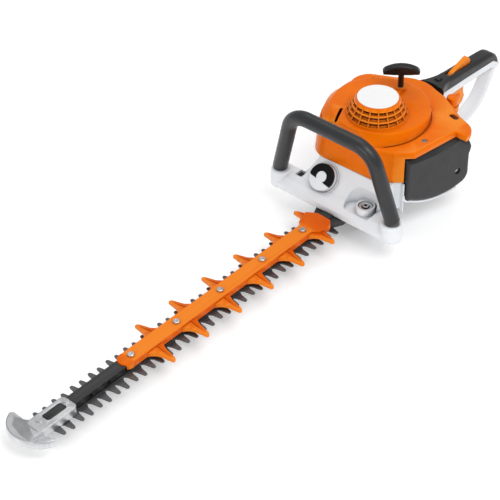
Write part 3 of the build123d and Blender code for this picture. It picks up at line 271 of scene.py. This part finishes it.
# ---- plastics and rubber ------------------------------------------------------------
def orange_plastic():
    """Smooth orange of the engine covers, the choke knob and the levers."""
    # Its lighter orange on convex edges is partly wear, partly a painted highlight
    return moulded_plastic("orange_plastic", (0.88, 0.174, 0.001), (0.84, 0.152, 0.001),
                           roughness=0.28, grain=0.06, edge_radius=0.0014, coat=0.02, specular=0.3,
                           specular_tint=ORANGE_HIGHLIGHT, edge_colour=(0.92, 0.26, 0.02), shade_colour=ORANGE_SHADE)


def orange_guard():
    """Duller, redder orange of the tooth guard and the louvres."""
    # Its lighter orange on convex edges is partly wear, partly a painted highlight
    return moulded_plastic("orange_guard", (0.80, 0.13, 0.001), (0.72, 0.10, 0.001),
                           roughness=0.36, grain=0.12, edge_radius=0.0010, specular=0.3,
                           specular_tint=ORANGE_HIGHLIGHT, edge_colour=(0.90, 0.24, 0.02), shade_colour=ORANGE_SHADE)


def white_plastic():
    """Cool white of the housing, the rear handle and the fuel cap, with the softest edges."""
    # Its last colour is the painted shade of its seams and hollows
    return moulded_plastic("white_plastic", (0.85, 0.88, 0.91), (0.82, 0.85, 0.88), roughness=0.42,
                           grain=0.08, edge_radius=0.0028, coat=0.1, shade_colour=(0.30, 0.31, 0.33))


def black_plastic():
    """Grained black mouldings."""
    return moulded_plastic("black_plastic", (0.024, 0.024, 0.026), (0.017, 0.017, 0.019),
                           roughness=0.38, grain=0.3, edge_radius=0.0018, specular=0.4)


def grip_black():
    """Satin rubber of the front handle's sleeve."""
    return moulded_plastic("grip_black", (0.024, 0.025, 0.027), (0.019, 0.020, 0.022),
                           roughness=0.34, grain=0.15, edge_radius=0.0012, specular=0.45)


def gloss_black():
    """Shiny black of the starter's pull grip."""
    return moulded_plastic("gloss_black", (0.010, 0.009, 0.009), (0.006, 0.006, 0.006),
                           roughness=0.24, grain=0.05, edge_radius=0.0012)


def dull_black():
    """Flat black of the fuel cap's folding grip."""
    return moulded_plastic("dull_black", (0.005, 0.005, 0.005), (0.003, 0.003, 0.003),
                           roughness=0.45, grain=0.1, edge_radius=0.0012, specular=0.16)


def black_rubber():
    """Dull rubber of the mounts, the plug boot and the cable's cover."""
    return moulded_plastic("black_rubber", (0.02, 0.02, 0.021), (0.03, 0.03, 0.03),
                           roughness=0.7, grain=0.4, edge_radius=0.0008)


def label_white():
    """Blank film, almost flat."""
    return moulded_plastic("label_white", (0.93, 0.93, 0.93), (0.91, 0.91, 0.915),
                           roughness=0.3, grain=0.02, edge_radius=0.0004, coat=0.2)


# ---- metals -------------------------------------------------------------------------
def blade_steel():
    """Dark ground blades, a little brighter on their edges: partly wear, partly a painted highlight."""
    return bare_metal("blade_steel", (0.060, 0.061, 0.063), (0.018, 0.018, 0.019), roughness=0.34,
                      edge_radius=0.0005, ground=True, edge_colour=(0.11, 0.11, 0.115), metallic=0.55)


def bright_steel():
    """Pale plating of the air filter's screw."""
    return bare_metal("bright_steel", (0.86, 0.86, 0.87), (0.70, 0.70, 0.71), roughness=0.4,
                      edge_radius=0.0004, metallic=0.3)


def gear_steel():
    """Ground steel of the gears, the clutch and the crank train."""
    return bare_metal("gear_steel", (0.45, 0.45, 0.46), (0.33, 0.33, 0.34), roughness=0.35,
                      edge_radius=0.0005, ground=True)


def bolt_steel():
    """Bright bolts, nuts, pins and spark plug."""
    return bare_metal("bolt_steel", (0.66, 0.66, 0.67), (0.50, 0.50, 0.51), roughness=0.3,
                      edge_radius=0.0006)


def zinc_screws():
    """Faintly yellow zinc."""
    return bare_metal("zinc_screws", (0.40, 0.39, 0.36), (0.28, 0.27, 0.25), roughness=0.4,
                      edge_radius=0.0004)


def bearing_bronze():
    """Bushes and bearing rings."""
    return bare_metal("bearing_bronze", (0.55, 0.36, 0.16), (0.4, 0.26, 0.11), roughness=0.45,
                      edge_radius=0.0004)


def muffler_steel():
    """Rough steel, stained brown by heat."""
    return bare_metal("muffler_steel", (0.30, 0.27, 0.24), (0.16, 0.14, 0.13), roughness=0.55,
                      edge_radius=0.0012)


def cast_light():
    """Bare aluminium casting, lighter on its edges: partly polish where they rub, partly a painted
    highlight.
    """
    return bare_metal("cast_light", (0.60, 0.61, 0.62), (0.46, 0.47, 0.48), roughness=0.36,
                      edge_radius=0.0016, edge_colour=(0.70, 0.71, 0.72))


def cast_dark():
    """Black paint on the gear case."""
    return painted_metal("cast_dark", (0.006, 0.006, 0.007), (0.010, 0.010, 0.011),
                         edge_colour=WORN_BLACK, roughness=0.5, edge_radius=0.0012)


def bar_black():
    """Satin black of the guide bar."""
    return painted_metal("bar_black", (0.007, 0.007, 0.008), (0.012, 0.012, 0.013),
                         edge_colour=WORN_BLACK, roughness=0.42, edge_radius=0.0008)


def handle_steel():
    """Black coat of the handle's tube."""
    return painted_metal("handle_steel", (0.03, 0.03, 0.03), (0.04, 0.04, 0.04),
                         edge_colour=(0.12, 0.12, 0.12), roughness=0.45, edge_radius=0.0006)


# ---- paper and rope -----------------------------------------------------------------
def filter_paper():
    """Fibrous buff paper."""
    made, tree, shader = new_material("filter_paper")
    tone = drifting(tree, (0.62, 0.53, 0.33), (0.44, 0.36, 0.2), scale=300.0, detail=5.0)
    tree.links.new(tone, shader.inputs["Base Color"])
    shader.inputs["Roughness"].default_value = 0.9
    fibres = (noise(tree, 1800.0), 0.5, 0.0003)
    relief(tree, shader, [fibres], edge_radius=0.0)
    return made


def rope():
    """Fine diagonal braid in two greys."""
    made, tree, shader = new_material("rope")
    place = tree.nodes.new("ShaderNodeTexCoord")
    braid = tree.nodes.new("ShaderNodeTexWave")
    braid.bands_direction = "DIAGONAL"
    braid.inputs["Scale"].default_value = 260.0
    tree.links.new(place.outputs["Object"], braid.inputs["Vector"])
    strands = braid.outputs["Fac"]
    tone = mixed(tree, strands, (0.025, 0.025, 0.025), (0.12, 0.12, 0.11))
    tree.links.new(tone, shader.inputs["Base Color"])
    shader.inputs["Roughness"].default_value = 0.85
    relief(tree, shader, [(strands, 0.6, 0.0004)], edge_radius=0.0)
    return made


def all_materials():
    """Every material by its name, which is the record's slot except for three closer variants."""
    recipes = (orange_plastic, orange_guard, white_plastic, black_plastic, grip_black, gloss_black,
               dull_black, black_rubber, label_white, blade_steel, bright_steel, gear_steel,
               bolt_steel, zinc_screws, bearing_bronze, muffler_steel, cast_light, cast_dark,
               bar_black, handle_steel, filter_paper, rope)
    return {recipe.__name__: recipe() for recipe in recipes}


def dress_nodes(materials):
    """Gives each CAD node the material of its slot in the record, or a closer variant of it."""
    variants = {"starter_grip": "gloss_black", "cap_grip": "dull_black", "filter_screw": "bright_steel"}
    for part in frame["record"]["subparts"]:
        mesh = nodes[part["node"]].data
        mesh.materials.clear()
        slot = variants.get(part["node"], part["material_slot"])
        mesh.materials.append(materials[slot])


# ---- small pieces -------------------------------------------------------------------
def turned(name, profiles, centre, material, bevel=0.0):
    """Rings turned about the vertical through centre, each a closed profile of (radius, height)."""
    shape = bmesh.new()
    for profile in profiles:
        loops = []
        for step in range(RING_STEPS):
            angle = 2 * math.pi * step / RING_STEPS
            loops.append([shape.verts.new((radius * math.cos(angle), radius * math.sin(angle), height))
                          for radius, height in profile])
        for step, loop in enumerate(loops):
            following = loops[(step + 1) % RING_STEPS]
            for here in range(len(profile)):
                beyond = (here + 1) % len(profile)
                shape.faces.new((loop[here], following[here], following[beyond], loop[beyond]))
    bmesh.ops.recalc_face_normals(shape, faces=shape.faces)
    mesh = bpy.data.meshes.new(name)
    shape.to_mesh(mesh)
    shape.free()
    mesh.materials.append(material)
    piece = add_object(name, mesh)
    piece.location = (*centre, 0.0)
    if bevel:
        rounding = piece.modifiers.new("rounding", "BEVEL")
        rounding.width = bevel
        rounding.segments = 2
    return piece


def grille_liner(material):
    """Orange louvre rings behind the three rows of windows in the starter dome."""
    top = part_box("starter_cover")[1].z
    rings = []
    for drop, height, outer in LOUVRE_RINGS:
        upper, lower = top - drop, top - drop - height
        foot = outer + DOME_LEAN * height
        rings.append([(outer, upper), (foot, lower), (foot - LOUVRE_THICKNESS, lower),
                      (outer - LOUVRE_THICKNESS, upper)])
    piece = turned("grille_liner", rings, (0.0, 0.0), material)
    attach(piece, "chassis")


def mount_washer(material):
    """Dished steel washer on the white boss of the front spring mount."""
    hole, foot, rim, crown = 0.0068, 0.0108, 0.0114, 0.0100      # radii
    rim_height, crown_height, hole_height = 0.0012, 0.0020, 0.0016
    profile = [(hole, MOUNT_SEAT), (foot, MOUNT_SEAT), (rim, MOUNT_SEAT + rim_height),
               (crown, MOUNT_SEAT + crown_height), (hole, MOUNT_SEAT + hole_height)]
    piece = turned("mount_washer", [profile], FRONT_MOUNT, material, FITTING_BEVEL)
    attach(piece, "chassis")


def mount_screw(material):
    """Ring of the socket screw's head, in the middle of that washer."""
    socket, chamfer, rim, crown = 0.0029, 0.0031, 0.0052, 0.0046     # radii
    head = MOUNT_SEAT + SCREW_RISE
    shoulder, top = head + 0.0008, head + 0.0013
    profile = [(socket, head), (rim, head), (rim, shoulder), (crown, top), (chamfer, top)]
    piece = turned("mount_screw", [profile], FRONT_MOUNT, material, FITTING_BEVEL)
    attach(piece, "chassis")


def pull_rope(material):
    """Rope inside the grip's stem and the bush."""
    low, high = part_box("starter_rope")
    middle = (low + high) / 2
    bottom, top = low.z + ROPE_FOOT_GAP, high.z - ROPE_HEAD_GAP
    outside = [(ROPE_RADIUS, bottom + (top - bottom) * row / ROPE_ROWS) for row in range(ROPE_ROWS + 1)]
    inside = [(ROPE_CORE, top), (ROPE_CORE, bottom)]
    piece = turned("pull_rope", [outside + inside], (middle.x, middle.y), material)
    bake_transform(piece)


# ---- stage --------------------------------------------------------------------------
def floor_paper():
    """Pale paper with a little light of its own, which keeps shadows soft."""
    made, tree, shader = new_material("floor_paper")
    tone = drifting(tree, (0.93, 0.93, 0.93), (0.9, 0.9, 0.905), scale=3.0)
    tree.links.new(tone, shader.inputs["Base Color"])
    shader.inputs["Roughness"].default_value = 0.9
    tree.links.new(tone, shader.inputs["Emission Color"])
    shader.inputs["Emission Strength"].default_value = 0.28
    return made


def floor():
    """Round floor, far wider than the object."""
    mesh = bpy.data.meshes.new("floor")
    shape = bmesh.new()
    bmesh.ops.create_circle(shape, cap_ends=True, radius=FLOOR_RADIUS, segments=64)
    shape.to_mesh(mesh)
    shape.free()
    mesh.materials.append(floor_paper())
    piece = add_object("floor", mesh)
    piece.location.z = cad_low.z - FLOOR_GAP


def softbox(name, place, width, depth, power):
    """Rectangular area lamp facing the middle of the object."""
    lamp = bpy.data.lights.new(name, "AREA")
    lamp.shape = "RECTANGLE"
    lamp.size = width
    lamp.size_y = depth
    lamp.energy = power
    aim(add_object(name, lamp), place, LIT_POINT)


def lights():
    """White surroundings, and softboxes above on the right, above at the back left and in front."""
    world = bpy.data.worlds.new("studio")
    world.use_nodes = True
    background = world.node_tree.nodes["Background"]
    background.inputs["Color"].default_value = (1.0, 1.0, 1.0, 1.0)
    background.inputs["Strength"].default_value = 0.54
    bpy.context.scene.world = world
    softbox("key", (1.3, -0.4, 2.2), width=1.5, depth=1.1, power=23.0)
    softbox("top", (-0.6, 0.5, 2.4), width=1.6, depth=1.6, power=11.0)
    softbox("front", (0.2, -2.6, 1.1), width=1.4, depth=0.7, power=10.0)


def camera():
    """Long lens, from the front right and well above."""
    lens = bpy.data.cameras.new("camera")
    lens.lens = CAMERA_LENS
    lens.sensor_width = CAMERA_SENSOR
    lens.shift_x, lens.shift_y = CAMERA_SHIFT
    lens.clip_end = 50.0
    eye = add_object("camera", lens)
    aim(eye, CAMERA_PLACE, LOOK_AT)
    bpy.context.scene.camera = eye


def main():
    bpy.context.scene.view_settings.view_transform = "Standard"
    camera()
    lights()
    floor()
    materials = all_materials()
    dress_nodes(materials)
    grille_liner(materials["orange_guard"])
    mount_washer(materials["bolt_steel"])
    mount_screw(materials["bolt_steel"])
    pull_rope(materials["rope"])


main()
